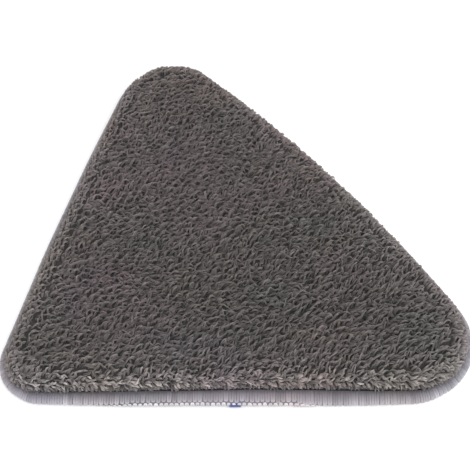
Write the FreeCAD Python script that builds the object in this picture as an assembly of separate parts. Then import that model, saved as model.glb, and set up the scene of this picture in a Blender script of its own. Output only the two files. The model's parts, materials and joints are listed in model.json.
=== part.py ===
import FreeCAD, Part
import math
import os

# Washable triangular cleaning pad for a floor mop.  Pile fabric on top, a soft core,
# a loop backing that grips the mop's head, an overlocked seam all round, and a folded
# ribbon tab caught in that seam and tucked under it.
# Millimetres.  +Z points up through the pile, +Y points to the nose of the triangle,
# and the origin is on the floor under the middle of the pad.

# ---- outline: a triangle with long bowed sides and round corners ----
BASE_WIDTH = 370.0           # between the sharp corners that the rounding cuts off
NOSE_HEIGHT = 238.0          # from that base to the sharp nose
BASE_CORNER_RADIUS = 38.0
NOSE_RADIUS = 24.0
BASE_BOW = 7.0               # bulge of the base side past its sharp line
BASE_SIDE_RADIUS = 826.0
LEG_BOW = 1.6                # the same for the two legs
LEG_SIDE_RADIUS = 2904.0
LEG_BULGE_PLACE = 174.1      # from the sharp base corner to the middle of a leg's bulge

# ---- layers, thickness in the middle of the pad ----
BACKING_THICKNESS = 1.2
CORE_THICKNESS = 4.6
KNIT_THICKNESS = 1.0
PAD_THICKNESS = 16.4

# ---- seam: the layers pressed together and wrapped with thread ----
SEAM_BITE = 5.5              # how far the stitches reach in from the edge
THREAD_BAND = 0.8
SEAM_UNDERSIDE = 1.0         # the seam's lowest threads stay this far above the floor
BACKING_IN_SEAM = 1.1
CORE_IN_SEAM = 0.9
KNIT_IN_SEAM = 0.9
PURL_SPLIT = 0.55            # share of the edge's height that the lower thread covers
EDGE_CHAMFER = 0.5
NEEDLE_LINE = 0.7            # width of the needle thread's line beside the bands

# ---- where the layers leave the seam and reach their full height ----
SEAM_INNER = SEAM_BITE + NEEDLE_LINE
BACKING_FLAT_INSET = 12.0
CORE_FULL_INSET = 16.0

# ---- pile: how far its rounded rim stands in from the edge, by share of its height ----
PILE_CLEAR_OF_SEAM = 0.2
PILE_RIM = (
    (5.2, 0.10),
    (4.6, 0.32),
    (5.2, 0.56),
    (7.2, 0.79),
    (10.6, 0.94),
    (15.0, 1.00),
)

# ---- ribbon tab: a folded loop, free on one side of the edge and sewn in on the other ----
TAB_WIDTH = 6.4
TAB_THICKNESS = 0.5
TAB_FREE_LENGTH = 7.0        # from the fold line to its free end
TAB_BELOW_SEAM = 0.4         # clear gap between the tucked tab and the seam above it
TAB_FOLD_IN = 0.6            # the middle of the round fold lies this far inside the edge
TAB_OFF_MIDDLE = 5.4         # from the middle of the leg towards the base corner
TAB_SEWN_LENGTH = 5.0
TAB_SEWN_THICKNESS = 0.4
TAB_SEWN_SHOWS = 0.2         # how far the sewn end stands out of the edge
TAB_SEWN_TOP = 3.2           # height to which the sewn end turns up over the edge


def vector(x, y, z=0.0):
    return FreeCAD.Vector(x, y, z)


def unit(v):
    return v * (1.0 / v.Length)


# ---- outline construction ----

def crossing(centre_a, radius_a, centre_b, radius_b, near):
    """The point nearest to `near` where two circles cross."""
    line = centre_b - centre_a
    gap = line.Length
    along = (gap * gap + radius_a * radius_a - radius_b * radius_b) / (2 * gap)
    across = math.sqrt(radius_a * radius_a - along * along)
    foot = centre_a + unit(line) * along
    side = vector(-line.y, line.x) * (across / gap)
    return min((foot + side, foot - side), key=lambda p: (p - near).Length)


class Curve:
    """A circular stretch of the outline."""

    def __init__(self, centre, radius):
        self.centre = centre
        self.radius = radius

    def point(self, direction, inset, z):
        return self.centre + direction * (self.radius - inset) + vector(0, 0, z)

    def arc(self, start, middle, end, inset, z):
        points = [self.point(direction, inset, z) for direction in (start, middle, end)]
        return Part.Arc(*points).toShape()


class Side(Curve):
    """One long arc, given by the middle of its bulge."""

    def __init__(self, bulge, outward, radius):
        super().__init__(bulge - outward * radius, radius)
        self.outward = outward


class Corner(Curve):
    """A round corner, tangent inside the two sides it joins."""

    def __init__(self, before, after, radius, sharp):
        centre = crossing(before.centre, before.radius - radius,
                          after.centre, after.radius - radius, sharp)
        super().__init__(centre, radius)
        self.start = unit(centre - before.centre)
        self.end = unit(centre - after.centre)


def make_leg(side_sign):
    """The right leg for +1, the left leg for -1."""
    foot = vector(side_sign * BASE_WIDTH / 2, 0)
    along = unit(vector(0, NOSE_HEIGHT) - foot)
    outward = vector(side_sign * along.y, side_sign * -along.x)
    bulge = foot + along * LEG_BULGE_PLACE + outward * LEG_BOW
    return Side(bulge, outward, LEG_SIDE_RADIUS)


def make_outline():
    base = Side(vector(0, -BASE_BOW), vector(0, -1), BASE_SIDE_RADIUS)
    right = make_leg(1)
    left = make_leg(-1)
    half = BASE_WIDTH / 2
    corners = (
        Corner(base, right, BASE_CORNER_RADIUS, vector(half, 0)),
        Corner(right, left, NOSE_RADIUS, vector(0, NOSE_HEIGHT)),
        Corner(left, base, BASE_CORNER_RADIUS, vector(-half, 0)),
    )
    return (base, right, left), corners


SIDES, CORNERS = make_outline()
LEFT_LEG = SIDES[2]

# the construction stands on the sharp base line, so it is moved to the middle of the pad
NOSE_TIP = CORNERS[1].centre.y + NOSE_RADIUS
TO_MIDDLE = vector(0, (BASE_BOW - NOSE_TIP) / 2)
for curve in SIDES + CORNERS:
    curve.centre = curve.centre + TO_MIDDLE


def outline_edges(inset, z):
    """The outline moved inwards by `inset`, as six arcs at height z."""
    edges = []
    for i, (side, corner) in enumerate(zip(SIDES, CORNERS)):
        edges.append(side.arc(CORNERS[i - 1].end, side.outward, corner.start, inset, z))
        middle = unit(corner.start + corner.end)
        edges.append(corner.arc(corner.start, middle, corner.end, inset, z))
    return edges


def outline_face(inset, z):
    return Part.Face(Part.Wire(outline_edges(inset, z)))


def skins(levels):
    """Ruled faces between the outlines given as (inset, height) pairs."""
    faces = []
    for low, high in zip(levels, levels[1:]):
        pairs = zip(outline_edges(*low), outline_edges(*high))
        faces += [Part.makeRuledSurface(a, b) for a, b in pairs]
    return faces


def close_up(faces):
    shell = Part.makeShell(faces)
    shell.sewShape()
    solid = Part.makeSolid(shell)
    if solid.Volume < 0:
        solid.reverse()
    return solid


def layer(levels):
    """A solid with flat faces at its first and last outline."""
    return close_up(skins(levels) + [outline_face(*levels[0]), outline_face(*levels[-1])])


def ring(section):
    """A solid ring all round the pad, from its closed (inset, height) section."""
    return close_up(skins(list(section) + [section[0]]))


# ---- heights of the layers inside the seam, from below ----
FLANGE_BOTTOM = SEAM_UNDERSIDE + THREAD_BAND
FLANGE_BACKING = FLANGE_BOTTOM + BACKING_IN_SEAM
FLANGE_CORE = FLANGE_BACKING + CORE_IN_SEAM
FLANGE_TOP = FLANGE_CORE + KNIT_IN_SEAM
SEAM_TOP = FLANGE_TOP + THREAD_BAND
EDGE_SPLIT = SEAM_UNDERSIDE + PURL_SPLIT * (SEAM_TOP - SEAM_UNDERSIDE)

CORE_TOP = BACKING_THICKNESS + CORE_THICKNESS
KNIT_TOP = CORE_TOP + KNIT_THICKNESS


def spread(inset_full, height_full, height_in_seam):
    """One boundary between layers, from its flat middle out to the cut edge."""
    return [
        (inset_full, height_full),
        (SEAM_INNER, height_in_seam),
        (THREAD_BAND, height_in_seam),
    ]


BACKING_UNDER = spread(BACKING_FLAT_INSET, 0.0, FLANGE_BOTTOM)
BACKING_OVER = spread(BACKING_FLAT_INSET, BACKING_THICKNESS, FLANGE_BACKING)
CORE_OVER = spread(CORE_FULL_INSET, CORE_TOP, FLANGE_CORE)
KNIT_OVER = spread(CORE_FULL_INSET, KNIT_TOP, FLANGE_TOP)


# ---- pieces ----

def between(lower, upper):
    """The layer between two boundaries."""
    return layer(lower + upper[::-1])


def fleece_pile():
    height = PAD_THICKNESS - FLANGE_TOP
    rim = [(inset, FLANGE_TOP + share * height) for inset, share in PILE_RIM]
    foot = (SEAM_INNER, FLANGE_TOP + THREAD_BAND + PILE_CLEAR_OF_SEAM)
    return layer(KNIT_OVER[:2] + [foot] + rim)


def upper_looper_thread():
    return ring((
        (SEAM_BITE, FLANGE_TOP),
        (THREAD_BAND, FLANGE_TOP),
        (THREAD_BAND, EDGE_SPLIT),
        (0.0, EDGE_SPLIT),
        (0.0, SEAM_TOP - EDGE_CHAMFER),
        (EDGE_CHAMFER, SEAM_TOP),
        (SEAM_BITE, SEAM_TOP),
    ))


def lower_looper_thread():
    return ring((
        (SEAM_BITE, FLANGE_BOTTOM),
        (THREAD_BAND, FLANGE_BOTTOM),
        (THREAD_BAND, EDGE_SPLIT),
        (0.0, EDGE_SPLIT),
        (0.0, SEAM_UNDERSIDE + EDGE_CHAMFER),
        (EDGE_CHAMFER, SEAM_UNDERSIDE),
        (SEAM_BITE, SEAM_UNDERSIDE),
    ))


def needle_thread():
    """A line of stitches on each face of the seam."""
    lines = []
    for low, high in ((FLANGE_TOP, SEAM_TOP), (SEAM_UNDERSIDE, FLANGE_BOTTOM)):
        lines.append(ring((
            (SEAM_BITE, low),
            (SEAM_INNER, low),
            (SEAM_INNER, high),
            (SEAM_BITE, high),
        )))
    return Part.makeCompound(lines)


TAB_HINGE_AXIS = vector(LEFT_LEG.outward.y, -LEFT_LEG.outward.x)
TAB_MIDDLE = SEAM_UNDERSIDE - TAB_BELOW_SEAM - TAB_THICKNESS / 2


def tab_place(inset, z):
    """The point in the middle of the tab's width, this far in from the edge."""
    return LEFT_LEG.point(LEFT_LEG.outward, inset, z) - TAB_HINGE_AXIS * TAB_OFF_MIDDLE


def strip(inset_in, inset_out, bottom, thickness):
    """A flat piece of ribbon across the edge of the left leg."""
    outward = LEFT_LEG.outward
    plate = Part.makeBox(inset_in - inset_out, TAB_WIDTH, thickness)
    plate.translate(vector(0, -TAB_WIDTH / 2))
    plate.rotate(vector(0, 0), vector(0, 0, 1), math.degrees(math.atan2(outward.y, outward.x)))
    plate.translate(tab_place(inset_in, bottom))
    return plate


TAB_HINGE_POINT = tab_place(TAB_FOLD_IN, TAB_MIDDLE)


def tab_free_part():
    """The free loop, lying under the seam, with a round fold about its hinge line."""
    start = TAB_HINGE_POINT - TAB_HINGE_AXIS * (TAB_WIDTH / 2)
    fold = Part.makeCylinder(TAB_THICKNESS / 2, TAB_WIDTH, start, TAB_HINGE_AXIS)
    bottom = TAB_MIDDLE - TAB_THICKNESS / 2
    loop = strip(TAB_FREE_LENGTH + TAB_FOLD_IN, TAB_FOLD_IN, bottom, TAB_THICKNESS)
    return loop.fuse(fold).removeSplitter()


def tab_sewn_part():
    """The sewn end: flat under the seam, then turned up over its edge."""
    flat = strip(TAB_SEWN_LENGTH, -TAB_SEWN_SHOWS, SEAM_UNDERSIDE, TAB_SEWN_THICKNESS)
    inner = TAB_SEWN_THICKNESS - TAB_SEWN_SHOWS
    turned_up = strip(inner, -TAB_SEWN_SHOWS, SEAM_UNDERSIDE, TAB_SEWN_TOP - SEAM_UNDERSIDE)
    return flat.fuse(turned_up).removeSplitter()


def build():
    sewn_end = tab_sewn_part()
    return {
        "loop_backing": between(BACKING_UNDER, BACKING_OVER),
        "absorbent_core": between(BACKING_OVER, CORE_OVER),
        "fleece_base_knit": between(CORE_OVER, KNIT_OVER),
        "fleece_pile": fleece_pile(),
        "overlock_upper_looper_thread": upper_looper_thread(),
        "overlock_lower_looper_thread": lower_looper_thread().cut(sewn_end),
        "overlock_needle_thread": needle_thread(),
        "ribbon_tab_sewn_end": sewn_end,
        "ribbon_tab": tab_free_part(),
    }


os.makedirs("parts", exist_ok=True)
for name, shape in build().items():
    shape.exportStep("parts/" + name + ".step")
    print(name, "volume %.0f mm3" % shape.Volume, "valid", shape.isValid())
print("tab hinge", TAB_HINGE_POINT, TAB_HINGE_AXIS)
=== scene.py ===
"""Makes the looks of a triangular mop pad: fleece pile, core, backing, overlocked edge and ribbon tab."""

import json
import math

import bpy
import numpy as np
from bpy.props import FloatProperty, FloatVectorProperty, IntProperty, PointerProperty
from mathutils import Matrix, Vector


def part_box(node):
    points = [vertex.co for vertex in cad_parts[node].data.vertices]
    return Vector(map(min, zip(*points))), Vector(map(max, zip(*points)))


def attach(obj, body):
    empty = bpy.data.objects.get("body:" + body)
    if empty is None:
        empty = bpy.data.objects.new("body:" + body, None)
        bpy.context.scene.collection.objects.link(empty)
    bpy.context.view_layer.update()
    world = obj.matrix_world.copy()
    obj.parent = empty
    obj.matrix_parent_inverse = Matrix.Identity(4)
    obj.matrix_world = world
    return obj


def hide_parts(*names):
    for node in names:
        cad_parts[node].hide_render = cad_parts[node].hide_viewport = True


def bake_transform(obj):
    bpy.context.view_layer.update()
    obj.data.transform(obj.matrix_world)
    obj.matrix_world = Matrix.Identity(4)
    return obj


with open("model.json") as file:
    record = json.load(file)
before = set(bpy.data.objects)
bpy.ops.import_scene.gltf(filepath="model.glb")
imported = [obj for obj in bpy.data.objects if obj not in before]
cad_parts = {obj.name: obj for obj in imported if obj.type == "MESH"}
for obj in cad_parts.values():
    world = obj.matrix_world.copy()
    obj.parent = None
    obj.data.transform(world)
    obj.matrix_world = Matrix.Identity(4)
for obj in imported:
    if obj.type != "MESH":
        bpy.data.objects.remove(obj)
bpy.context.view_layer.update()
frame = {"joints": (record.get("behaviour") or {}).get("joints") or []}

bl_info = {
    "name": "Mop pad maker",
    "version": (1, 0, 0),
    "blender": (4, 5, 0),
    "location": "3D View > Sidebar > Mop pad",
    "description": "Makes a washable triangular pile pad with an overlocked edge",
    "category": "Add Mesh",
}

UP = np.array((0.0, 0.0, 1.0))


def metres(name, description, default):
    """A size in metres that a user may change."""
    return FloatProperty(name=name, description=description, default=default, unit="LENGTH", precision=5)


def paint(name, description, default):
    """A colour that a user may change."""
    return FloatVectorProperty(name=name, description=description, default=default, subtype="COLOR",
                               size=3, min=0.0, max=1.0)


def turned(name, description, degrees):
    """An angle that a user may change."""
    return FloatProperty(name=name, description=description, default=math.radians(degrees), subtype="ANGLE")


# ---- settings

class OutlineSettings(bpy.types.PropertyGroup):
    """The edge of the pad: a triangle with bowed sides and round corners."""
    base_width: metres("Base width", "Between the sharp corners that the rounding cuts off", 0.370)
    nose_height: metres("Nose height", "From the base to the sharp nose", 0.238)
    base_corner: metres("Base corner radius", "Radius of the two corners at the base", 0.038)
    nose_corner: metres("Nose radius", "Radius of the nose", 0.024)
    base_bow: metres("Base bow", "Bulge of the base side past its sharp line", 0.007)
    base_radius: metres("Base side radius", "Radius of the bowed base side", 0.826)
    leg_bow: metres("Leg bow", "Bulge of each leg past its sharp line", 0.0016)
    leg_radius: metres("Leg radius", "Radius of the bowed legs", 2.904)
    leg_bulge_place: metres("Leg bulge place", "From the base corner to the bulge's middle", 0.1741)


class PileSettings(bpy.types.PropertyGroup):
    """The fleece's tufts of yarn."""
    row_gap: metres("Row gap", "Between the rows of tufts, across the nap", 0.00160)
    tuft_gap: metres("Tuft gap", "Between the tufts of a row, along the nap", 0.0026)
    tuft_height: metres("Tuft height", "How far the tufts stand above the packed pile", 0.0026)
    tuft_lean: metres("Tuft lean", "How far a tuft's tip lies over along the nap", 0.0048)
    tuft_radius: metres("Tuft radius", "Radius of the bundle of yarns in a tuft", 0.00040)
    yarn_radius: metres("Yarn radius", "Radius of one yarn at its root", 0.00028)
    yarns: IntProperty(name="Yarns", description="Yarns in each tuft", default=6, min=1, max=16)
    ridge_gap: metres("Ridge gap", "Between the ridges that the pile clumps into", 0.0037)
    ridge_height: metres("Ridge height", "How far the ridges rise and the valleys fall", 0.0013)
    spill: metres("Spill", "How far the pile spreads over the seam, away from the left leg", 0.0026)
    # painted shade: the pile's yarns are drawn darker towards their roots, deep in the pile, than at their
    # tips
    root_colour: paint("Root colour", "Colour deep in the pile", (0.038, 0.034, 0.0335))
    tip_colour: paint("Tip colour", "Colour of the tufts' tips", (0.140, 0.1235, 0.1208))
    seed: IntProperty(name="Seed", description="Changes the random spread of the tufts", default=7, min=0)


class SeamSettings(bpy.types.PropertyGroup):
    """The overlocked edge."""
    pitch: metres("Stitch pitch", "Length of one overlock stitch", 0.0027)
    bite: metres("Bite", "How far the stitches reach in from the edge", 0.0064)
    strand_radius: metres("Strand radius", "Radius of a strand of the looper threads", 0.00017)
    strands: IntProperty(name="Strands", description="Strands of a looper thread", default=5, min=1, max=9)
    overlap: metres("Overlap", "Length sewn twice, at the seam's end", 0.016)
    # painted shade under the pile's overhanging rim, with a little of the fluffed thread's own darker
    # colour: the looper threads darken towards the needle's line
    shade_colour: paint("Thread shade", "Looper threads at the needle's line", (0.15, 0.135, 0.16))
    upper_colour: paint("Upper thread", "Upper looper thread at the edge", (0.52, 0.50, 0.54))
    lower_colour: paint("Lower thread", "Lower looper thread at the edge", (0.66, 0.64, 0.68))
    # painted shade: the thread bed is fluffed thread coloured darker than the threads, as the gaps between
    # the strands lie in shade
    bed_colour: paint("Thread bed", "Flattened thread under the strands", (0.17, 0.16, 0.18))
    needle_colour: paint("Needle thread", "Colour of the needle thread", (0.30, 0.28, 0.30))


class InsideSettings(bpy.types.PropertyGroup):
    """The core, the backing and the ribbon tab."""
    loop_gap: metres("Loop gap", "Between the loops of the backing", 0.0026)
    loop_height: metres("Loop height", "How far the backing's loops stand out", 0.0009)
    backing_colour: paint("Backing", "Colour of the loop backing", (0.40, 0.40, 0.42))
    core_colour: paint("Core", "Colour of the wadding", (0.72, 0.72, 0.69))
    ribbon_colour: paint("Ribbon", "Colour of the ribbon's face", (0.030, 0.045, 0.16))
    ribbon_edge_colour: paint("Ribbon edge", "The ribbon's woven edges", (0.25, 0.30, 0.45))


class StageSettings(bpy.types.PropertyGroup):
    """Camera, floor and light."""
    azimuth: turned("Camera azimuth", "Where the camera stands, round the pad", 232.2)
    elevation: turned("Camera elevation", "Height of the camera above the horizon", 53.3)
    distance: metres("Camera distance", "From the camera to the point that it looks at", 0.5541)
    aim_x: metres("Aim X", "Where the camera looks, across the pad", 0.0063)
    aim_y: metres("Aim Y", "Where the camera looks, along the pad", -0.0427)
    lens: FloatProperty(name="Lens", description="Focal length in millimetres", default=71.35, min=10.0)
    surround: FloatProperty(name="Surround light", description="Strength of the white light all round",
                            default=0.9, min=0.0)
    key_power: FloatProperty(name="Key light", description="Power of the large soft light above",
                             default=16.0, min=0.0, subtype="POWER")


SETTINGS = {
    "pad_outline": OutlineSettings,
    "pad_pile": PileSettings,
    "pad_seam": SeamSettings,
    "pad_inside": InsideSettings,
    "pad_stage": StageSettings,
}


# ---- the pad's edge

def circles_meet(centre_a, radius_a, centre_b, radius_b, near):
    """Where two circles cross, nearest to a point."""
    line = centre_b - centre_a
    gap = np.linalg.norm(line)
    along = (gap ** 2 + radius_a ** 2 - radius_b ** 2) / (2 * gap)
    across = math.sqrt(radius_a ** 2 - along ** 2)
    foot = centre_a + line / gap * along
    side = np.array((-line[1], line[0])) / gap * across
    return min((foot + side, foot - side), key=lambda p: np.linalg.norm(p - near))


def angle_of(v):
    return math.atan2(v[1], v[0])


class Outline:
    """The pad's edge as six tangent arcs, run anticlockwise from the left end of the base."""

    def __init__(self, sizes):
        half = sizes.base_width / 2
        nose = np.array((0.0, sizes.nose_height))
        sharp = [np.array((half, 0.0)), nose, np.array((-half, 0.0))]
        sides = [(np.array((0.0, sizes.base_radius - sizes.base_bow)), sizes.base_radius)]
        for sign in (1, -1):
            foot = np.array((sign * half, 0.0))
            along = (nose - foot) / np.linalg.norm(nose - foot)
            outward = sign * np.array((along[1], -along[0]))
            bulge = foot + along * sizes.leg_bulge_place + outward * sizes.leg_bow
            sides.append((bulge - outward * sizes.leg_radius, sizes.leg_radius))
        rounds = (sizes.base_corner, sizes.nose_corner, sizes.base_corner)
        corners = []
        for i, radius in enumerate(rounds):
            (before, reach), (after, reach_after) = sides[i], sides[(i + 1) % 3]
            corners.append(circles_meet(before, reach - radius, after, reach_after - radius, sharp[i]))
        arcs = []
        for i, (centre, radius) in enumerate(sides):
            side_start, side_end = angle_of(corners[i - 1] - centre), angle_of(corners[i] - centre)
            corner_end = angle_of(corners[i] - sides[(i + 1) % 3][0])
            arcs.append((centre, radius, side_start, side_end))
            arcs.append((corners[i], rounds[i], side_end, corner_end))
        self.centres, self.radii, self.starts, ends = (np.array(column) for column in zip(*arcs))
        self.turns = (ends - self.starts) % (2 * math.pi)
        self.centres[:, 1] -= (corners[1][1] + rounds[1] - sizes.base_bow) / 2
        self.lengths = self.radii * self.turns
        self.ends = np.cumsum(self.lengths)
        self.total = self.ends[-1]

    def place(self, s, inset):
        """Points a distance s along the edge and inset from it, and the directions out of the pad there."""
        s, inset = np.broadcast_arrays(np.asarray(s, float) % self.total, np.asarray(inset, float))
        arc = np.minimum(np.searchsorted(self.ends, s, side="right"), 5)
        angle = self.starts[arc] + (s - self.ends[arc] + self.lengths[arc]) / self.radii[arc]
        outward = np.stack((np.cos(angle), np.sin(angle)), -1)
        return self.centres[arc] + outward * (self.radii[arc] - inset)[..., None], outward

    def inset(self, points):
        """How far inside the edge each point of the plane is."""
        best = np.full(len(points), 1.0)
        for centre, radius, start, turn in zip(self.centres, self.radii, self.starts, self.turns):
            v = points - centre
            angle = (np.arctan2(v[:, 1], v[:, 0]) - start) % (2 * math.pi)
            found = np.where(angle <= turn, radius - np.linalg.norm(v, axis=1), 1.0)
            best = np.minimum(best, found)
        return best

    def along(self, side_index, share):
        """The distance along the edge of a place on one side: 0 base, 1 right leg, 2 left leg."""
        arc = 2 * side_index
        return self.ends[arc] - self.lengths[arc] * (1 - share)


def leg_share(outline, s):
    """The share of the left leg that a place on the edge has passed, below 0 shortly before its start."""
    start, end = outline.along(2, 0.0), outline.along(2, 1.0)
    return ((np.asarray(s) - start + 0.1) % outline.total - 0.1) / (end - start)


def fullness(outline, s):
    """Between 0 and 1: the seam was sewn wider and fuller past the middle of the left leg."""
    return np.sin(math.pi * np.clip((leg_share(outline, s) + 0.02) / 1.2, 0, 1)) ** 2


# ---- mesh helpers

def wander(points, wavelength, seed):
    """Smooth noise between about -1 and 1 at points of the plane or of space."""
    draw = np.random.default_rng(seed)
    points = np.asarray(points, float)
    total = np.zeros(points.shape[:-1])
    for _ in range(7):
        way = draw.normal(size=points.shape[-1])
        way /= np.linalg.norm(way)
        turns = 2 * math.pi / wavelength * draw.uniform(0.6, 1.5)
        total += np.cos(points @ way * turns + draw.uniform(0, 2 * math.pi))
    return total / math.sqrt(7)


def unit(v):
    return v / np.maximum(np.linalg.norm(v, axis=-1, keepdims=True), 1e-12)


def add_object(name, data):
    made = bpy.data.objects.new(name, data)
    bpy.context.scene.collection.objects.link(made)
    return made


def new_mesh_object(name, points, face_groups):
    """A mesh object from an array of points and arrays of faces, each with its own corner count."""
    mesh = bpy.data.meshes.new(name)
    face_groups = [np.asarray(faces, np.int32) for faces in face_groups if len(faces)]
    corners = np.concatenate([faces.ravel() for faces in face_groups])
    sizes = np.concatenate([np.full(len(faces), faces.shape[1]) for faces in face_groups])
    mesh.vertices.add(len(points))
    mesh.vertices.foreach_set("co", np.asarray(points, np.float32).ravel())
    mesh.loops.add(len(corners))
    mesh.polygons.add(len(sizes))
    mesh.polygons.foreach_set("loop_start", np.concatenate(([0], np.cumsum(sizes)[:-1])).astype(np.int32))
    mesh.polygons.foreach_set("vertices", corners)
    mesh.update(calc_edges=True)
    mesh.validate()
    mesh.polygons.foreach_set("use_smooth", np.ones(len(mesh.polygons), bool))
    return add_object(name, mesh)


def add_values(piece, name, values):
    """Stores one number for each point of the piece's mesh, for its material to read."""
    attribute = piece.data.attributes.new(name, "FLOAT", "POINT")
    attribute.data.foreach_set("value", np.asarray(values, np.float32).ravel())


def sweep(paths, radii, sides):
    """Round yarns along paths (count, steps, 3) with radii (count, steps), closed at both ends."""
    count, steps, _ = paths.shape
    tangents = unit(np.gradient(paths, axis=1))
    first = np.cross(tangents[:, 0], UP + 1e-3)
    side = np.empty_like(paths)
    side[:, 0] = unit(first - tangents[:, 0] * np.sum(first * tangents[:, 0], -1, keepdims=True))
    for i in range(1, steps):
        carried = side[:, i - 1]
        side[:, i] = unit(carried - tangents[:, i] * np.sum(carried * tangents[:, i], -1, keepdims=True))
    over = np.cross(tangents, side)
    turn = np.arange(sides) * 2 * math.pi / sides
    ring = side[:, :, None] * np.cos(turn)[:, None] + over[:, :, None] * np.sin(turn)[:, None]
    points = paths[:, :, None] + ring * radii[:, :, None, None]
    index = np.arange(count * steps * sides).reshape(count, steps, sides)
    after = np.roll(index, -1, axis=2)
    quads = np.stack((index[:, :-1], after[:, :-1], after[:, 1:], index[:, 1:]), -1).reshape(-1, 4)
    caps = np.concatenate((index[:, 0, ::-1], index[:, -1]))
    along = np.broadcast_to(np.linspace(0, 1, steps)[None, :, None], (count, steps, sides))
    return points.reshape(-1, 3), quads, caps, along.ravel()


def yarn_piece(name, paths, radii, sides, tints, along=None):
    """A piece made of yarns, with the values that the yarn materials read."""
    points, quads, caps, shares = sweep(paths, radii, sides)
    piece = new_mesh_object(name, points, (quads, caps))
    add_values(piece, "along", shares if along is None else np.repeat(along, sides))
    add_values(piece, "tint", np.repeat(tints, paths.shape[1] * sides))
    return piece


def finish_piece(piece, material, body="pad", replaces=()):
    piece.data.materials.append(material)
    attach(piece, body)
    if replaces:
        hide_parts(*replaces)


# ---- materials

def node_tree_of(name):
    material = bpy.data.materials.new(name)
    material.use_nodes = True
    return material, material.node_tree, material.node_tree.nodes["Principled BSDF"]


def feed(tree, node, sources):
    """Links a node's inputs, by label or number, to their sources, or sets them to values."""
    for key, source in sources.items():
        if isinstance(source, bpy.types.NodeSocket):
            tree.links.new(source, node.inputs[key])
        else:
            node.inputs[key].default_value = source


def add_node(tree, kind, sources=(), **choices):
    """A new node with its choices made and its first inputs fed from sources."""
    node = tree.nodes.new("ShaderNode" + kind)
    for name, value in choices.items():
        setattr(node, name, value)
    feed(tree, node, dict(enumerate(sources)))
    return node


def add_math(tree, operation, first, second=0.0):
    return add_node(tree, "Math", (first, second), operation=operation).outputs[0]


def add_vector_math(tree, operation, *sources):
    return add_node(tree, "VectorMath", sources, operation=operation).outputs[0]


def add_mix(tree, factor, first, second):
    """A mix of two colours, by the numbers of a Mix node's colour sockets."""
    node = add_node(tree, "Mix", data_type="RGBA")
    feed(tree, node, {0: factor, 6: first, 7: second})
    return node.outputs[2]


def add_noise(tree, scale, detail=2.0, output="Fac"):
    """Noise in the piece's own coordinates, with scale in turns per metre."""
    place = add_node(tree, "TexCoord").outputs["Object"]
    noise = add_node(tree, "TexNoise", (place,))
    feed(tree, noise, {"Scale": scale, "Detail": detail})
    return noise.outputs[output]


def rgba(colour):
    return (*colour, 1.0)


def new_group(name, **inputs):
    """A node group that puts out a colour and a height, and takes the inputs with their defaults."""
    group = bpy.data.node_groups.new(name, "ShaderNodeTree")
    for label, default in inputs.items():
        kind = "NodeSocketFloat" if isinstance(default, float) else "NodeSocketColor"
        group.interface.new_socket(label, in_out="INPUT", socket_type=kind).default_value = default
    group.interface.new_socket("Color", in_out="OUTPUT", socket_type="NodeSocketColor")
    group.interface.new_socket("Height", in_out="OUTPUT", socket_type="NodeSocketFloat")
    return group, group.nodes.new("NodeGroupInput").outputs, group.nodes.new("NodeGroupOutput")


def yarn_shade_group(name):
    """Colour of a yarn: darker towards its root as painted shade, each a little different, with soft patches
    of another tint.
    """
    grey = rgba((0.2, 0.2, 0.2))
    group, given, out = new_group(name, Root=grey, Tip=grey, Patch=grey, Patches=0.1, Spread=0.3,
                                  Grain=1200.0)
    along = add_node(group, "Attribute", attribute_name="along").outputs["Fac"]
    tint = add_node(group, "Attribute", attribute_name="tint").outputs["Fac"]
    shade = add_mix(group, add_math(group, "POWER", along, 0.75), given["Root"], given["Tip"])
    # tint lifts or lowers each yarn: random tone, and for the pile's yarns also painted highlight and
    # painted shade
    lift = add_math(group, "ADD", add_math(group, "MULTIPLY", tint, given["Spread"]), 1.0)
    grain = add_noise(group, given["Grain"])
    flecks = add_math(group, "ADD", add_math(group, "MULTIPLY", grain, 0.5), 0.75)
    level = add_math(group, "MULTIPLY", lift, flecks)
    flecked = add_vector_math(group, "MULTIPLY", shade, level)
    patches = add_math(group, "SUBTRACT", add_noise(group, 22.0, 1.0), 0.45)
    mask = add_math(group, "MULTIPLY", add_math(group, "MULTIPLY", patches, given["Patches"]), 6.0)
    colour = add_mix(group, add_math(group, "MAXIMUM", mask, 0.0), flecked, given["Patch"])
    drift = add_vector_math(group, "MULTIPLY_ADD", add_noise(group, 24.0, 1.0, "Color"), (0.26, 0.06, 0.20),
                            (0.875, 0.965, 0.895))
    feed(group, out, {"Color": add_vector_math(group, "MULTIPLY", colour, drift), "Height": grain})
    return group


def cloth_grain_group(name):
    """Fine even grain of knitted or woven cloth."""
    group, given, out = new_group(name, Color=rgba((0.5, 0.5, 0.5)), Contrast=0.3, Scale=900.0)
    fine = add_noise(group, given["Scale"], 3.0)
    swing = add_math(group, "MULTIPLY", add_math(group, "SUBTRACT", fine, 0.5), given["Contrast"])
    level = add_math(group, "ADD", swing, 1.0)
    feed(group, out, {"Color": add_vector_math(group, "MULTIPLY", given["Color"], level), "Height": fine})
    return group


def soft_surface(tree, shader, colour, height, distance, roughness, sheen, strength=0.6):
    """A soft surface with its colour, its bumps from a height, and its sheen."""
    bump = add_node(tree, "Bump")
    feed(tree, bump, {"Strength": strength, "Distance": distance, "Height": height})
    feed(tree, shader, {"Base Color": colour, "Normal": bump.outputs["Normal"], "Roughness": roughness,
                        "Specular IOR Level": 0.25, "Sheen Weight": sheen, "Sheen Roughness": 0.45})


def grouped_material(name, make_group, bump, roughness, sheen, **values):
    """A soft material with colour and bumps from a node group that is made once and shared."""
    material, tree, shader = node_tree_of(name)
    label = make_group.__name__
    node = add_node(tree, "Group", node_tree=bpy.data.node_groups.get(label) or make_group(label))
    feed(tree, node, values)
    soft_surface(tree, shader, node.outputs["Color"], node.outputs["Height"], bump, roughness, sheen)
    return material


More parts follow.
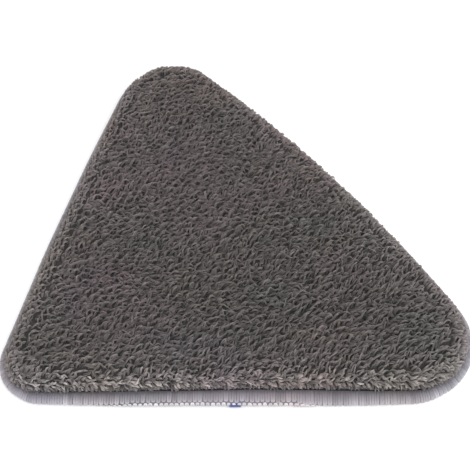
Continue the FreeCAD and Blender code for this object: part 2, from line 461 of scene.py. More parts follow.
def yarn_material(name, root, tip, patch, patches, spread, sheen, grain=1200.0):
    return grouped_material(name, yarn_shade_group, 0.00015, 0.85, sheen, Root=rgba(root), Tip=rgba(tip),
                            Patch=rgba(patch), Patches=patches, Spread=spread, Grain=grain)


def cloth_material(name, colour, contrast, scale, bump):
    return grouped_material(name, cloth_grain_group, bump, 0.9, 0.2, Color=rgba(colour), Contrast=contrast,
                            Scale=scale)


def ribbon_material(face, edge):
    """Satin ribbon: fine ribs across it and paler woven edges, by its own U and V."""
    material, tree, shader = node_tree_of("woven ribbon")
    place = add_node(tree, "UVMap", uv_map="ribbon").outputs["UV"]
    u, v, _ = add_node(tree, "SeparateXYZ", (place,)).outputs
    off_middle = add_math(tree, "ABSOLUTE", add_math(tree, "SUBTRACT", u, 0.5))
    at_edge = add_math(tree, "GREATER_THAN", off_middle, 0.44)
    across = add_math(tree, "SINE", add_math(tree, "MULTIPLY", v, 340.0))
    along = add_math(tree, "SINE", add_math(tree, "MULTIPLY", u, 120.0))
    weave = add_math(tree, "MULTIPLY", across, along)
    weave_share = add_math(tree, "ADD", add_math(tree, "MULTIPLY", weave, 0.12), 0.12)
    base = add_mix(tree, at_edge, rgba(face), rgba(edge))
    colour = add_mix(tree, weave_share, base, rgba(edge))
    soft_surface(tree, shader, colour, weave, 0.00005, 0.5, 0.1, strength=0.5)
    return material


# ---- layers

RIM_LIMIT = 0.018           # further in than this, a layer's rings are shrunken copies
LAYER_MIDDLE = (0.0, -0.035)


def ring_of(outline, count, inset):
    """Points round the pad: an offset of the edge near it, a shrunken copy of that further in."""
    s = np.arange(count) * outline.total / count
    if inset <= RIM_LIMIT:
        return outline.place(s, inset)[0]
    ring = outline.place(s, RIM_LIMIT)[0]
    share = max(1 - (inset - RIM_LIMIT) / 0.062, 0.0)
    return LAYER_MIDDLE + (ring - LAYER_MIDDLE) * share


def layer_piece(name, outline, section, count):
    """A closed layer from its section: (inset, height) from its underside's middle to its top's middle."""
    rings = [np.column_stack((ring_of(outline, count, inset), np.full(count, z))) for inset, z in section]
    points = np.concatenate(rings)
    index = np.arange(len(points)).reshape(len(section), count)
    after = np.roll(index, -1, axis=1)
    quads = np.stack((index[:-1], after[:-1], after[1:], index[1:]), -1).reshape(-1, 4)
    middles = len(points) + np.arange(2)
    low = np.column_stack((after[0], index[0], np.full(count, middles[0])))
    high = np.column_stack((index[-1], after[-1], np.full(count, middles[1])))
    centre = np.array([(*LAYER_MIDDLE, section[i][1]) for i in (0, -1)])
    return new_mesh_object(name, np.concatenate((points, centre)), (quads, low, high))


def refine(section, step):
    """The section with points added so that none are further apart than step."""
    fine = [section[0]]
    for a, b in zip(section, section[1:]):
        parts = max(1, math.ceil(math.dist(a, b) / step))
        a, b = np.array(a), np.array(b)
        fine += [tuple(a + (b - a) * k / parts) for k in range(1, parts + 1)]
    return fine


def move_points(piece, change):
    """Adds change(points) to the points of a mesh."""
    points = np.empty(len(piece.data.vertices) * 3, np.float32)
    piece.data.vertices.foreach_get("co", points)
    points = points.reshape(-1, 3).astype(float)
    piece.data.vertices.foreach_set("co", (points + change(points)).astype(np.float32).ravel())
    piece.data.update()


# ---- shared sizes

EDGE_IN = 0.0008            # the layers' cut edge, inside the thread that wraps it
SEAM_IN = 0.0062            # where the layers leave the seam
BACKING_LIES_IN = 0.012     # where the backing reaches the floor
CORE_FULL_IN = 0.016        # where the core reaches its full height
NEAR_MIDDLE_IN = 0.075      # where a layer's section begins and ends
LEFT_WAY = np.array((-0.7895, 0.6137))      # out of the pad across the left leg
NAP_TURN = -0.17            # how far the nap turns from straight towards the base
WADDING = "absorbent_core_wadding"


def box_height(node):
    low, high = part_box(node)
    return low.z, high.z


class Heights:
    """Heights of the layers, read from the packed model."""

    def __init__(self):
        self.floor, self.backing_in_seam = box_height("loop_backing")
        self.backing_top, self.core_top = box_height("absorbent_core")
        self.core_in_seam, self.knit_top = box_height("fleece_base_knit")
        self.knit_in_seam, self.pile_top = box_height("fleece_pile")
        self.seam_low = box_height("overlock_lower_looper_thread")[0]
        self.seam_top = box_height("overlock_upper_looper_thread")[1]
        self.flange_low = self.seam_low + EDGE_IN


class Maker:
    """What every piece is made from: the edge, the heights and the settings."""

    def __init__(self, scene):
        self.outline = Outline(scene.pad_outline)
        self.heights = Heights()
        self.pile = scene.pad_pile
        self.seam = scene.pad_seam
        self.inside = scene.pad_inside


# ---- backing, core, ground knit

def make_layer(maker, name, faces, step, count):
    """A dished layer; each face, underside first, is (level from this inset, height, seam height)."""
    rows = [[(NEAR_MIDDLE_IN, level), (lies_in, level), (SEAM_IN, in_seam), (EDGE_IN, in_seam)]
            for lies_in, level, in_seam in faces]
    return layer_piece(name, maker.outline, refine(rows[0] + rows[1][::-1], step), count)


def make_backing(maker):
    h = maker.heights
    cloth_low = h.floor + maker.inside.loop_height - 0.0002
    lies_in = BACKING_LIES_IN
    faces = ((lies_in, cloth_low, h.flange_low), (lies_in, h.backing_top, h.backing_in_seam))
    sheet = make_layer(maker, "loop_backing_cloth", faces, 0.0016, 520)

    def rise(points):
        change = np.zeros_like(points)
        change[:, 2] = 0.00008 * (1 + wander(points[:, :2], 0.003, 11))
        return change

    move_points(sheet, rise)
    material = cloth_material("brushed backing", maker.inside.backing_colour, 0.35, 1500.0, 0.0002)
    finish_piece(sheet, material, replaces=("loop_backing",))


def grid_over_pad(gap_x, gap_y):
    """A grid of places that covers the pad, in rows that run along Y."""
    return np.meshgrid(np.arange(-0.15, 0.15, gap_x), np.arange(-0.12, 0.12, gap_y), indexing="ij")


LOOP_RADIUS = 0.00011


def make_backing_loops(maker):
    """Small loops of yarn all over the backing, which the hooks of the mop's head catch."""
    draw = np.random.default_rng(13)
    gap, height = maker.inside.loop_gap, maker.inside.loop_height
    x, y = grid_over_pad(gap, gap)
    plane = np.stack((x.ravel(), y.ravel()), -1)
    plane += draw.uniform(-0.35, 0.35, plane.shape) * gap
    plane = plane[maker.outline.inset(plane) > BACKING_LIES_IN + 0.0005]
    count = len(plane)
    turn = draw.uniform(0, 2 * math.pi, (count, 1))
    t = np.linspace(-1, 1, 7)
    drop = np.cos(t * math.pi / 2) ** 0.7
    along = draw.uniform(0.0006, 0.0011, (count, 1)) * np.sin(t * 2.0)
    across = draw.normal(0, 0.0007, (count, 1)) * drop
    x = plane[:, :1] + np.cos(turn) * along - np.sin(turn) * across
    y = plane[:, 1:] + np.sin(turn) * along + np.cos(turn) * across
    z = np.broadcast_to(maker.heights.floor + 0.00012 + height * (1 - drop), x.shape)
    colour = maker.inside.backing_colour
    material = yarn_material("backing loop yarn", colour, colour, colour, 0.0, 0.08, 0.15)
    loops = yarn_piece("loop_backing_loops", np.stack((x, y, z), -1), np.full(x.shape, LOOP_RADIUS), 3,
                       draw.normal(0, 1, count))
    finish_piece(loops, material)


def make_core(maker):
    h = maker.heights
    faces = ((BACKING_LIES_IN, h.backing_top, h.backing_in_seam), (CORE_FULL_IN, h.core_top, h.core_in_seam))
    core = make_layer(maker, WADDING, faces, 0.0025, 360)
    material = cloth_material("needled wadding", maker.inside.core_colour, 0.2, 500.0, 0.0004)
    finish_piece(core, material, replaces=("absorbent_core",))


def make_ground_knit(maker):
    h = maker.heights
    faces = ((CORE_FULL_IN, h.core_top, h.core_in_seam), (CORE_FULL_IN, h.knit_top, h.knit_in_seam))
    knit = make_layer(maker, "fleece_ground_knit", faces, 0.0025, 360)
    # coloured with the painted root shade, as it lies in shade under the pile
    material = cloth_material("ground knit", maker.pile.root_colour, 0.4, 900.0, 0.0002)
    finish_piece(knit, material, replaces=("fleece_base_knit",))


# ---- pile

RIM_IN = 0.0145             # where the flat top ends and the round rim begins
RIM_WIDEST_IN = 0.0075      # the rim's widest place, and its height above the seam
RIM_WIDEST_UP = 0.0030
CORNER_WAY = np.array((0.78, -0.62))        # out of the pad at the right base corner
BODY_COUNT = 420            # points round the packed pile
YARN_TAPER = np.array((1.0, 1.0, 1.0, 0.95, 0.8, 0.4))      # from a tuft's root to its tips
YARN_STEPS = len(YARN_TAPER)
YARNS_PER_PIECE = 6000
RIM_ROWS = np.radians(np.arange(-36, 90, 14))
RIM_GAP, FRINGE_GAP = 0.0018, 0.0012        # between the tufts round the rim and in the fringe
FRINGE_IN = 0.0078
# painted highlight: the rim's yarns are drawn lighter, fading in from the edge
RIM_HIGHLIGHT, RIM_HIGHLIGHT_REACH = 9.0, 0.0073              # how much lighter the rim's yarns are, and how far in
PATCH_COLOUR = (0.16, 0.13, 0.15)           # of the faint patches in the pile


class PileShape:
    """The packed part of the pile under the tufts' tips: flat on top with a round rim over the seam."""

    def __init__(self, maker):
        h = maker.heights
        self.top = h.pile_top - maker.pile.tuft_height
        self.widest = h.seam_top + RIM_WIDEST_UP
        self.reach = RIM_IN - RIM_WIDEST_IN
        self.rise = self.top - self.widest
        self.drop = self.widest - h.seam_top - 0.0002
        self.spill = maker.pile.spill
        self.outline = maker.outline

    def overhang(self, s):
        """How far the rim leans out, the way out, and the shares of the left leg and the right corner.

        It leans out little on the left leg, where the seam draws it in, and most at the right corner.
        """
        outward = self.outline.place(s, 0.0)[1]
        facing = outward @ LEFT_WAY
        spread = np.clip((0.90 - facing) / 0.5, 0, 1)
        corner = np.clip((outward @ CORNER_WAY - 0.75) / 0.22, 0, 1)
        drawn_in = 0.0015 - 0.0037 * fullness(self.outline, s) ** 0.6
        lean = self.spill * (spread + 0.55 * corner) + drawn_in * np.clip(facing * 3 - 1, 0, 1)
        return lean, outward, np.clip(facing * 1.6 - 0.5, 0, 1), corner

    def section(self, angle):
        """Inset and height at an angle: 0 at the widest place, a quarter turn at the top, negative below."""
        rise = np.where(angle > 0, self.rise, self.drop * 1.25)
        inset = RIM_IN - self.reach * np.abs(np.cos(angle)) ** 0.8
        return inset, self.widest + rise * np.sin(angle)

    def normal(self, angle):
        """Outward and upward parts of the surface's direction."""
        rise = np.where(angle > 0, self.rise, self.drop)
        out, up = np.cos(angle) * rise, np.sin(angle) * self.reach
        size = np.hypot(out, up)
        return out / size, up / size


def make_pile_body(maker, shape):
    h, outline = maker.heights, maker.outline
    low = [(NEAR_MIDDLE_IN, h.knit_top), (CORE_FULL_IN, h.knit_top)]
    low.append((SEAM_IN + 0.0008, h.knit_in_seam + 0.0002))
    angles = np.radians(np.linspace(-50, 90, 15))
    rim = [(float(inset), float(z)) for inset, z in zip(*shape.section(angles))]
    section = refine(low + rim + [(NEAR_MIDDLE_IN, shape.top)], 0.0022)
    body = layer_piece("pile_packed_yarn", outline, section, BODY_COUNT)

    def lumps(points):
        change = np.zeros_like(points)
        top = np.clip((points[:, 2] - h.knit_top) / (shape.top - h.knit_top), 0, 1)
        change[:, 2] = 0.0006 * top * wander(points[:, :2], 0.006, 21)
        s = np.resize(np.arange(BODY_COUNT) * outline.total / BODY_COUNT, len(points))
        lean, outward, _, _ = shape.overhang(s)
        share = np.clip((RIM_IN + 0.004 - outline.inset(points[:, :2])) / 0.009, 0, 1)
        share *= np.clip((points[:, 2] - h.seam_top) / 0.0015, 0, 1)
        change[:, :2] = outward * (lean * share)[:, None]
        return change

    move_points(body, lumps)
    # coloured with the painted root shade, so that the gaps between the tufts look shaded
    material = cloth_material("packed pile", maker.pile.root_colour, 0.5, 1100.0, 0.0004)
    finish_piece(body, material, replaces=("fleece_pile",))


class Tufts:
    """Where the tufts stand, the ways that they grow and lie over, and what part of the pad they are on."""

    def __init__(self, maker, shape):
        self.pile, self.outline, self.shape = maker.pile, maker.outline, shape
        self.seam_top = maker.heights.seam_top
        self.draw = np.random.default_rng(maker.pile.seed)
        groups = [self.on_top()]
        groups += [self.rim_row(k, angle) for k, angle in enumerate(RIM_ROWS)]
        groups.append(self.fringe())
        columns = [np.concatenate(column) for column in zip(*groups)]
        self.roots, self.ways, self.on_rim, self.by_edge, self.near, self.corner = columns
        self.lie = self.lie_over()

    def on_top(self):
        """Rows over the flat top."""
        pile = self.pile
        x, y = grid_over_pad(pile.row_gap, pile.tuft_gap)
        y = y + (np.arange(len(y)) % 2)[:, None] * pile.tuft_gap / 2
        plane = np.stack((x.ravel(), y.ravel()), -1)
        plane += self.draw.uniform(-0.36, 0.36, plane.shape) * (pile.row_gap, pile.tuft_gap)
        plane = plane[self.outline.inset(plane) > RIM_IN]
        none = np.zeros(len(plane))
        by_edge = np.clip(1 - (self.outline.inset(plane) - RIM_IN) / 0.004, 0, 1)
        roots = np.column_stack((plane, none + self.shape.top))
        return roots, np.broadcast_to(UP, roots.shape), none, by_edge, none, none

    def rim_row(self, k, angle):
        """A row round the rim, at an angle of its section."""
        total, draw = self.outline.total, self.draw
        count = int(total / RIM_GAP)
        s = (np.arange(count) + 0.5 * (k % 2)) * total / count + draw.uniform(-0.0006, 0.0006, count)
        angles = angle + draw.uniform(-0.10, 0.10, count)
        inset, z = self.shape.section(angles)
        lean, outward, near, corner = self.shape.overhang(s)
        place, _ = self.outline.place(s, inset - lean * np.clip(np.cos(angles), 0, 1))
        out, up = self.shape.normal(angles)
        ways = np.column_stack((outward * out[:, None], up))
        return np.column_stack((place, z)), ways, 1 - up, np.ones(count), near, corner

    def fringe(self):
        """Loose tufts under the rim, which hang over the needle's line."""
        draw, count = self.draw, int(self.outline.total / FRINGE_GAP)
        s = draw.uniform(0, self.outline.total, count)
        lean, outward, near, corner = self.shape.overhang(s)
        place, _ = self.outline.place(s, FRINGE_IN + draw.uniform(-0.0012, 0.0012, count) - lean)
        z = self.seam_top + draw.uniform(0.0002, 0.0024, count) + 0.0012 * fullness(self.outline, s)
        one = np.ones(count)
        ways = np.column_stack((outward * 0.6, one * 0.8))
        return np.column_stack((place, z)), ways, one, one, near, corner

    def lie_over(self):
        """The nap lies towards the base, and turns down over the rim."""
        count = len(self.roots)
        turn = NAP_TURN - math.pi / 2 + 0.22 * wander(self.roots[:, :2], 0.05, 31)
        turn = turn + self.draw.normal(0, 0.40, count)
        lie = np.column_stack((np.cos(turn), np.sin(turn), np.zeros(count)))
        rim = (self.on_rim ** (0.6 + 0.7 * self.near))[:, None]
        lie = lie * (1 - 0.75 * rim) + self.ways * (1, 1, 0) * rim * 0.5 - UP * rim * 0.8
        return unit(lie - self.ways * np.sum(lie * self.ways, -1, keepdims=True))


def ridges(points, width, waves=40):
    """Worm-like ridges of the clumped pile, between -1 and 1, running along the nap."""
    draw = np.random.default_rng(71)
    total = np.zeros(points.shape[:-1])
    for _ in range(waves):
        turn = NAP_TURN + draw.normal(0, 0.62)
        turns = 2 * math.pi / (width * draw.uniform(0.65, 1.40))
        across = points[..., 0] * math.cos(turn) + points[..., 1] * math.sin(turn)
        total += np.cos(across * turns + draw.uniform(0, 2 * math.pi))
    return np.tanh(1.2 * total / math.sqrt(waves / 2))


def yarn_paths(tufts, streak):
    """Paths of the yarns, which stand, lie over and gather to a tip, and the ridges at their steps."""
    pile, draw, on_rim = tufts.pile, tufts.draw, tufts.on_rim
    count, yarns = len(tufts.roots), pile.yarns
    height = pile.tuft_height * (1 + 0.12 * streak + 0.25 * tufts.corner + draw.normal(0, 0.08, count))
    sway = 0.15 * wander(tufts.roots[:, :2], 0.012, 43)
    lean = pile.tuft_lean * (1 + sway + draw.normal(0, 0.15, count))
    lean *= 1 - 0.30 * tufts.by_edge - (0.35 - 0.25 * tufts.near) * on_rim
    height *= 1 - (0.15 * tufts.by_edge + 0.4 * on_rim) * (1 - tufts.near)
    t = np.linspace(0, 1, YARN_STEPS)
    up_part = 1 - (1 - t) ** 3.2 - 0.22 * t ** 3
    cross = np.cross(tufts.ways, tufts.lie)
    curl = lean * draw.normal(0, 0.22, count)
    spine = (tufts.ways[:, None] * (height[:, None] * (up_part * 1.15 - 0.15))[..., None]
             + tufts.lie[:, None] * (lean[:, None] * (t ** 1.15 - 0.35))[..., None]
             + cross[:, None] * (curl[:, None] * np.sin(2.2 * t) * t)[..., None])
    turn = np.arange(yarns) * 2 * math.pi / max(yarns - 1, 1) + draw.uniform(0, 6.3, (count, 1))
    angle = turn[..., None] + draw.normal(0.8, 0.5, (count, 1, 1)) * t
    reach = np.full(yarns, pile.tuft_radius)
    reach[-1] = 0.0
    gather = (1 - 0.45 * t ** 1.5) * reach[None, :, None] * draw.uniform(0.8, 1.15, (count, yarns, 1))
    offset = ((np.cos(angle) * gather)[..., None] * cross[:, None, None]
              + (np.sin(angle) * gather)[..., None] * tufts.ways[:, None, None])
    length = draw.uniform(0.82, 1.08, (count, yarns, 1, 1))
    slip = draw.uniform(-1, 1, (count, yarns, 1, 1)) * 0.0007 * (1 - 0.6 * on_rim)[:, None, None, None]
    paths = tufts.roots[:, None, None] + spine[:, None] * length + offset + tufts.lie[:, None, None] * slip
    relief = ridges(paths[..., :2], pile.ridge_gap) * (1 - on_rim)[:, None, None]
    paths[..., 2] += pile.ridge_height * relief * np.clip(t * 3, 0, 1)
    return paths.reshape(-1, YARN_STEPS, 3), relief.reshape(-1, YARN_STEPS)


def yarn_tints(tufts, streak, relief):
    """How light each yarn is: a painted highlight towards the rim and in blobs on the left leg's shoulder,
    and painted shade in the valleys between the ridges.
    """
    on_rim, near, yarns = tufts.on_rim, tufts.near, tufts.pile.yarns
    blobs = np.clip(wander(tufts.roots, 0.0034, 77), -0.7, 1.6)
    past_rim = np.maximum(tufts.outline.inset(tufts.roots[:, :2]) - RIM_WIDEST_IN, 0)
    shoulder = np.exp(-((on_rim - 0.44) / 0.42) ** 2)
    # painted highlight round the rim, less on the near side's lowest rows, with brighter blobs on the near
    # shoulder
    painted_highlight = RIM_HIGHLIGHT * np.exp(-past_rim / RIM_HIGHLIGHT_REACH) * (1 - near * np.where(on_rim > 0.95, 1.0, 0.6))
    painted_highlight += near * shoulder * (6.2 + 12.0 * blobs)
    tuft_tone_and_highlight = 0.5 * streak + tufts.draw.normal(0, 0.8, len(near)) + painted_highlight
    # painted shade and light: yarns in the ridges' valleys are drawn darker, on the crests lighter
    return np.repeat(tuft_tone_and_highlight, yarns) + tufts.draw.normal(0, 2.4, len(relief)) + 1.2 * relief[:, 3]


def make_tufts(maker, shape):
    pile, tufts = maker.pile, Tufts(maker, shape)
    streak = wander(tufts.roots[:, :2] * (1.0, 0.35), 0.004, 41)
    paths, relief = yarn_paths(tufts, streak)
    radii = pile.yarn_radius * YARN_TAPER * tufts.draw.uniform(0.8, 1.15, (len(paths), 1))
    tints = yarn_tints(tufts, streak, relief)
    material = yarn_material("fleece yarn", pile.root_colour, pile.tip_colour, PATCH_COLOUR, 0.12,
                             0.14, 0.25)
    rim_yarn = np.repeat(tufts.on_rim > 0.25, pile.yarns)
    for label, chosen in (("pile_tufts", ~rim_yarn), ("pile_rim_tufts", rim_yarn)):
        which = np.flatnonzero(chosen)
        which = which[np.argsort(paths[which, 0, 1], kind="stable")]
        for k, part in enumerate(np.array_split(which, math.ceil(len(which) / YARNS_PER_PIECE))):
            piece = yarn_piece(f"{label}_{k + 1:02d}", paths[part], radii[part], 3, tints[part])
            finish_piece(piece, material)


# ---- overlocked edge

BITE_GAIN = 0.0020          # how much further the stitches reach in where the seam is full
PUFF, PUFF_GAIN = 0.0004, 0.0013            # how far they puff up at the needle's line, and the gain


class SeamShape:
    """The rounded flange that the looper threads wrap."""

    def __init__(self, maker):
        h = maker.heights
        self.outline = maker.outline
        self.middle = (h.seam_top + h.seam_low) / 2
        self.half = (h.seam_top - h.seam_low) / 2
        self.bite = maker.seam.bite
        self.pitch = self.outline.total / round(self.outline.total / maker.seam.pitch)

    def place(self, s, angle, lift):
        """A place on the flange: a quarter turn is the needle's line on top, 0 the edge, negative below."""
        s, angle, lift = np.broadcast_arrays(s, angle, lift)
        full = fullness(self.outline, s)
        reach_in = 1 - np.abs(np.cos(angle)) ** 0.55
        inset = (self.bite + BITE_GAIN * full) * reach_in
        z = self.middle + self.half * np.sign(np.sin(angle)) * np.abs(np.sin(angle)) ** 0.7
        z = z + np.where(angle > 0, (PUFF + PUFF_GAIN * full) * reach_in ** 1.5, 0.0)
        point, outward = self.outline.place(s, inset)
        wave = 0.00018 * np.sin(s / 0.031) + 0.00012 * np.sin(s / 0.0123 + 1.0)
        by_ends = np.cos(math.pi * leg_share(self.outline, s)) ** 2
        wave = wave + 0.0008 * np.clip(outward @ LEFT_WAY * 8 - 7, 0, 1) * by_ends
        up = np.sin(angle)
        shifted = point + outward * (np.cos(angle) * lift + wave)[..., None]
        return np.concatenate((shifted, (z + up * lift)[..., None]), -1)


def roll_up(outline, s):
    """Between 0 and 1: the purl runs low round the pad, but rolls up over the left leg's middle."""
    share = leg_share(outline, s)
    return np.clip((share - 0.10) / 0.16, 0, 1) * np.clip((0.84 - share) / 0.16, 0, 1)


SEWN_FROM = 0.67            # the share of the left leg where the sewing starts and ends
PURL_TURN, PURL_ROLL = -32, 72              # degrees that the purl lies under the edge, and that it rolls up


def looper_paths(maker, seam, sign, steps=18):
    """Each stitch of a looper thread: nested loops from the needle's line out to the purl and back."""
    draw = np.random.default_rng(51 + sign)
    sizes, strands = maker.seam, maker.seam.strands
    start = seam.outline.along(2, SEWN_FROM)
    stitches = int((seam.outline.total + sizes.overlap) / seam.pitch)
    first = start + (np.arange(stitches) + draw.normal(0, 0.03, stitches)) * seam.pitch
    lap = np.clip((first - start - seam.outline.total) / 0.004, 0, 1)[:, None, None]
    t = np.linspace(-1, 1, steps)
    depth = np.cos(np.abs(t) * math.pi / 2) ** 0.8
    nest = (np.arange(strands) + 0.5)[None, :, None] / strands
    rolled = roll_up(seam.outline, first)[:, None, None]
    purl = np.radians(PURL_TURN + PURL_ROLL * rolled) + draw.normal(0, 0.05, (stitches, 1, 1))
    lower = 1.0 if sign < 0 else 0.0
    reach = purl - sign * math.radians(5.0) * (nest - 0.5) - math.radians(14.0) * lower
    needle = math.radians(86.0) * sign
    angle = needle + (reach - needle) * depth
    turned = np.sign(t) * (1 - np.exp(-np.abs(t) * 11))
    narrow = 1 - (0.58 - 0.50 * lap) * (1 - 0.45 * rolled) * depth ** 5
    across = (0.05 + 0.39 * nest) * turned * narrow + 0.5 * lower + 0.22 * lap
    s = first[:, None, None] + seam.pitch * across + draw.normal(0, 0.00004, (stitches, strands, 1))
    lift = sizes.strand_radius * (0.6 + 0.9 * np.abs(np.sin(nest * 7))) + 0.0005 * lap
    lift = lift + draw.normal(0, 0.00004, (stitches, strands, 1))
    paths = seam.place(s, angle, lift)
    # painted shade: these depths run the threads' colour from the shade at the needle's line to their own
    # colour at the purl; where the purl rolls up they stay darker
    depths = np.broadcast_to(depth * (1 - (0.28 + 0.12 * sign) * rolled), paths.shape[:-1])
    return paths.reshape(-1, steps, 3), depths.reshape(-1, steps), draw


def make_looper(maker, seam, sign, name, colour, node):
    """One looper thread in a near and a far piece; sign is 1 for the upper one and -1 for the lower."""
    sizes = maker.seam
    paths, depths, draw = looper_paths(maker, seam, sign)
    radii = sizes.strand_radius * draw.uniform(0.9, 1.15, (len(paths), 1)) * np.ones(paths.shape[1])
    tints = np.repeat(draw.normal(0, 1, len(paths) // sizes.strands), sizes.strands)
    tints = tints + draw.normal(0, 0.6, len(paths))
    # each thread is coloured from the painted shade at the needle's line to its own colour at the edge
    shade = sizes.shade_colour
    material = yarn_material(name.replace("_", " "), shade, colour, shade, 0.05, 0.08, 0.25, 2600.0)
    middle = len(paths) // 2
    for label, part, nodes in (("near", slice(0, middle), (node,)), ("far", slice(middle, None), ())):
        piece = yarn_piece(f"{name}_{label}", paths[part], radii[part], 5, tints[part], depths[part].ravel())
        finish_piece(piece, material, replaces=nodes)


def make_thread_bed(maker, seam, count=1100):
    """The flattened loops of fluffy thread that close the gaps between the strands, coloured darker than the
    threads as painted shade.
    """
    s = np.arange(count) * seam.outline.total / count
    out = np.radians(np.linspace(88, -88, 27))
    angles = np.concatenate((out, out[::-1]))
    lifts = np.repeat((-0.00006, -0.0004), len(out))
    points = seam.place(s[None], angles[:, None], lifts[:, None])
    index = np.arange(points.shape[0] * count).reshape(points.shape[0], count)
    after, below = np.roll(index, -1, axis=1), np.roll(index, -1, axis=0)
    quads = np.stack((index, below, np.roll(below, -1, axis=1), after), -1).reshape(-1, 4)
    piece = new_mesh_object("overlock_thread_bed", points.reshape(-1, 3), (quads,))
    material = cloth_material("thread bed", maker.seam.bed_colour, 0.4, 2400.0, 0.0002)
    finish_piece(piece, material)


NEEDLE_RADIUS = 0.00022
NEEDLE_DIP = 0.0007         # how deep the needle thread dips between its stitches
NEEDLE_APART = 0.00016      # how far its two strands spread from their middle


def make_needle_thread(maker, seam):
    draw = np.random.default_rng(61)
    outline, sizes, h = maker.outline, maker.seam, maker.heights
    pitch = seam.pitch
    stitches = int(outline.total / pitch)
    t = np.linspace(0, 1, 7)
    first = np.arange(stitches)[:, None] * pitch
    dip = NEEDLE_DIP * (1 - np.sin(np.pi * t)) ** 2
    rows = []
    for height, sign in ((h.seam_top - 0.0002, 1), (h.seam_low + 0.0003, -1)):
        for side in (-1, 1):
            s = first + t * pitch * 0.98
            full = fullness(outline, s) * (sign > 0)
            apart = side * NEEDLE_APART * np.sin(np.pi * t)
            place, _ = outline.place(s, sizes.bite + BITE_GAIN * full + apart)
            z = height - sign * dip + (PUFF + PUFF_GAIN * full) * (sign > 0)
            rows.append(np.concatenate((place, z[..., None]), -1))
    paths = np.concatenate(rows)
    radii = np.full(paths.shape[:2], NEEDLE_RADIUS)
    colour = sizes.needle_colour
    material = yarn_material("needle thread", colour, colour, colour, 0.05, 0.08, 0.1, 2600.0)
    piece = yarn_piece("overlock_needle_stitches", paths, radii, 5, draw.normal(0, 1, len(paths)))
    finish_piece(piece, material, replaces=("overlock_needle_thread",))


# ---- ribbon tab

def smooth_line(points, per_span=6):
    """A smooth line through points of the plane."""
    p = np.array([points[0], *points, points[-1]], float)
    made = []
    for i in range(1, len(p) - 2):
        t = np.linspace(0, 1, per_span, endpoint=i == len(p) - 3)[:, None]
        a, b, c, d = p[i - 1], p[i], p[i + 1], p[i + 2]
        made.append(0.5 * (2 * b + (c - a) * t + (2 * a - 5 * b + 4 * c - d) * t ** 2
                           + (3 * b - a - 3 * c + d) * t ** 3))
    return np.concatenate(made)


RIBBON_WIDTH, RIBBON_THICK = 0.0064, 0.00022
RIBBON_ROUTE = (            # (inset, height) from the seam, over its edge, round the fold and under the pad
    (0.0009, 0.0046), (0.0002, 0.0043), (-0.00035, 0.0036), (-0.00055, 0.0027), (-0.00045, 0.0018),
    (-0.0001, 0.00105), (0.00035, 0.00075), (0.0005, 0.00045), (0.0008, 0.00022), (0.0016, 0.00018),
    (0.0040, 0.00022), (0.0070, 0.00024))


def make_ribbon_tab(maker):
    outline, inside = maker.outline, maker.inside
    hinge = frame["joints"][0]["pos_m"]
    edge = outline.along(2, np.linspace(0, 1, 4001))
    s_middle = edge[np.argmin(np.linalg.norm(outline.place(edge, 0.0)[0] - hinge[:2], axis=1))]
    line = smooth_line(RIBBON_ROUTE)
    along = unit(np.gradient(line, axis=0))
    normal = np.column_stack((-along[:, 1], along[:, 0]))
    across = np.linspace(-0.5, 0.5, 9)
    crown = 0.00003 * np.cos(across * math.pi)
    points, uvs = [], []
    for face in (1, -1):
        for place, n, v in zip(line, normal, np.linspace(0, 1, len(line))):
            section = place + n * (face * RIBBON_THICK / 2 + face * crown)[:, None]
            where, _ = outline.place(s_middle + across * RIBBON_WIDTH, section[:, 0])
            points.append(np.column_stack((where, section[:, 1])))
            uvs.append(np.column_stack((across + 0.5, np.full(len(across), v))))
    points = np.concatenate(points)
    uvs = np.concatenate(uvs)
    front, back = np.arange(len(points)).reshape(2, len(line), len(across))

    def grid(a):
        return np.stack((a[:-1, :-1], a[:-1, 1:], a[1:, 1:], a[1:, :-1]), -1).reshape(-1, 4)

    def strip(a, b):
        return np.stack((a[:-1], a[1:], b[1:], b[:-1]), -1)

    edges = [strip(front[:, 0], back[:, 0]), strip(back[:, -1], front[:, -1]),
             strip(back[0], front[0]), strip(front[-1], back[-1])]
    piece = new_mesh_object("ribbon_tab_loop", points, [grid(front), grid(back)[:, ::-1], *edges])
    layer = piece.data.uv_layers.new(name="ribbon")
    corners = np.empty(len(piece.data.loops), np.int32)
    piece.data.loops.foreach_get("vertex_index", corners)
    layer.data.foreach_set("uv", uvs[corners].astype(np.float32).ravel())
    piece.data.materials.append(ribbon_material(inside.ribbon_colour, inside.ribbon_edge_colour))
    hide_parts("ribbon_tab", "ribbon_tab_sewn_end")
    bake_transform(piece)


# ---- stage

def make_camera(stage):
    data = bpy.data.cameras.new("camera")
    data.lens = stage.lens
    data.sensor_width = 36.0
    data.clip_start = 0.01
    camera = add_object("camera", data)
    back = Vector((math.sin(stage.azimuth) * math.cos(stage.elevation),
                   -math.cos(stage.azimuth) * math.cos(stage.elevation), math.sin(stage.elevation)))
    camera.location = Vector((stage.aim_x, stage.aim_y, 0.0)) + back * stage.distance
    camera.rotation_euler = back.to_track_quat("Z", "Y").to_euler()
    bpy.context.scene.camera = camera


def make_light(name, power, size, place, aim):
    data = bpy.data.lights.new(name, "AREA")
    data.energy = power
    data.shape = "DISK"
    data.size = size
    light = add_object(name, data)
    light.location = place
    light.rotation_euler = (Vector(place) - Vector(aim)).to_track_quat("Z", "Y").to_euler()


def make_floor():
    size = 6.0
    points = [(x * size, y * size, 0.0) for x, y in ((-1, -1), (1, -1), (1, 1), (-1, 1))]
    floor = new_mesh_object("floor", points, ([(0, 1, 2, 3)],))
    material, tree, shader = node_tree_of("white floor")
    feed(tree, shader, {"Base Color": rgba((0.93, 0.93, 0.93)), "Roughness": 0.9, "Specular IOR Level": 0.1})
    floor.data.materials.append(material)


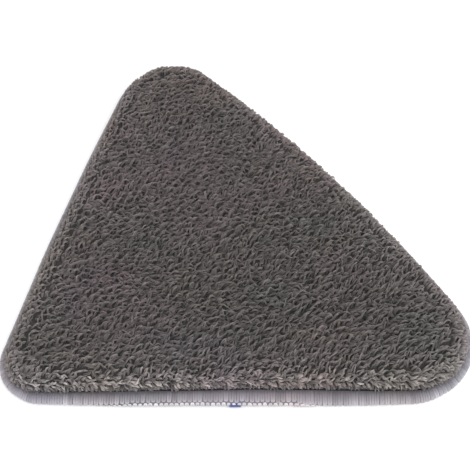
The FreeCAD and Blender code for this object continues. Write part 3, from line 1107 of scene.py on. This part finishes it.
def make_surround(strength):
    world = bpy.data.worlds.new("surround")
    world.use_nodes = True
    tree = world.node_tree
    feed(tree, tree.nodes["Background"], {"Color": rgba((1.0, 1.0, 1.0)), "Strength": strength})
    bpy.context.scene.world = world


# ---- operators

class PAD_OT_stage(bpy.types.Operator):
    """Sets the camera, the white floor and the soft studio light"""
    bl_idname = "mop_pad.stage"
    bl_label = "Set the stage"

    def execute(self, context):
        stage = context.scene.pad_stage
        make_camera(stage)
        make_floor()
        make_surround(stage.surround)
        make_light("key", stage.key_power, 1.0, (-0.9, 0.2, 1.3), (0.0, 0.0, 0.0))
        context.scene.view_settings.view_transform = "Standard"
        return {"FINISHED"}


class PAD_OT_layers(bpy.types.Operator):
    """Makes the backing with its loops, the core and the ground knit"""
    bl_idname = "mop_pad.layers"
    bl_label = "Make the layers"

    def execute(self, context):
        maker = Maker(context.scene)
        make_core(maker)
        make_backing(maker)
        make_backing_loops(maker)
        make_ground_knit(maker)
        return {"FINISHED"}


class PAD_OT_pile(bpy.types.Operator):
    """Makes the pile: its packed lower part and its tufts"""
    bl_idname = "mop_pad.pile"
    bl_label = "Make the pile"

    def execute(self, context):
        maker = Maker(context.scene)
        shape = PileShape(maker)
        make_pile_body(maker, shape)
        make_tufts(maker, shape)
        return {"FINISHED"}


class PAD_OT_overlock(bpy.types.Operator):
    """Sews the overlocked edge: both looper threads and the needle thread"""
    bl_idname = "mop_pad.overlock"
    bl_label = "Sew the edge"

    def execute(self, context):
        maker = Maker(context.scene)
        seam = SeamShape(maker)
        upper, lower = maker.seam.upper_colour, maker.seam.lower_colour
        make_looper(maker, seam, 1, "overlock_upper_thread", upper, "overlock_upper_looper_thread")
        make_looper(maker, seam, -1, "overlock_lower_thread", lower, "overlock_lower_looper_thread")
        make_thread_bed(maker, seam)
        make_needle_thread(maker, seam)
        return {"FINISHED"}


class PAD_OT_ribbon_tab(bpy.types.Operator):
    """Makes the folded ribbon tab under the left leg's edge"""
    bl_idname = "mop_pad.ribbon_tab"
    bl_label = "Make the ribbon tab"

    def execute(self, context):
        make_ribbon_tab(Maker(context.scene))
        return {"FINISHED"}


OPERATORS = (PAD_OT_stage, PAD_OT_layers, PAD_OT_pile, PAD_OT_overlock, PAD_OT_ribbon_tab)


class PAD_PT_panel(bpy.types.Panel):
    """Lists the pad's settings and the steps that make it"""
    bl_idname = "PAD_PT_panel"
    bl_label = "Mop pad"
    bl_space_type = "VIEW_3D"
    bl_region_type = "UI"
    bl_category = "Mop pad"

    def draw(self, context):
        for name, kind in SETTINGS.items():
            box = self.layout.box()
            box.label(text=kind.__doc__)
            for prop in kind.__annotations__:
                box.prop(getattr(context.scene, name), prop)
        for operator in OPERATORS:
            self.layout.operator(operator.bl_idname)


def register():
    for kind in SETTINGS.values():
        bpy.utils.register_class(kind)
    for name, kind in SETTINGS.items():
        setattr(bpy.types.Scene, name, PointerProperty(type=kind))
    for kind in (*OPERATORS, PAD_PT_panel):
        bpy.utils.register_class(kind)


def unregister():
    for kind in (PAD_PT_panel, *OPERATORS):
        bpy.utils.unregister_class(kind)
    for name in SETTINGS:
        delattr(bpy.types.Scene, name)
    for kind in SETTINGS.values():
        bpy.utils.unregister_class(kind)


def main():
    register()
    bpy.ops.mop_pad.stage()
    bpy.ops.mop_pad.layers()
    bpy.ops.mop_pad.pile()
    bpy.ops.mop_pad.overlock()
    bpy.ops.mop_pad.ribbon_tab()


if __name__ == "__main__":
    main()
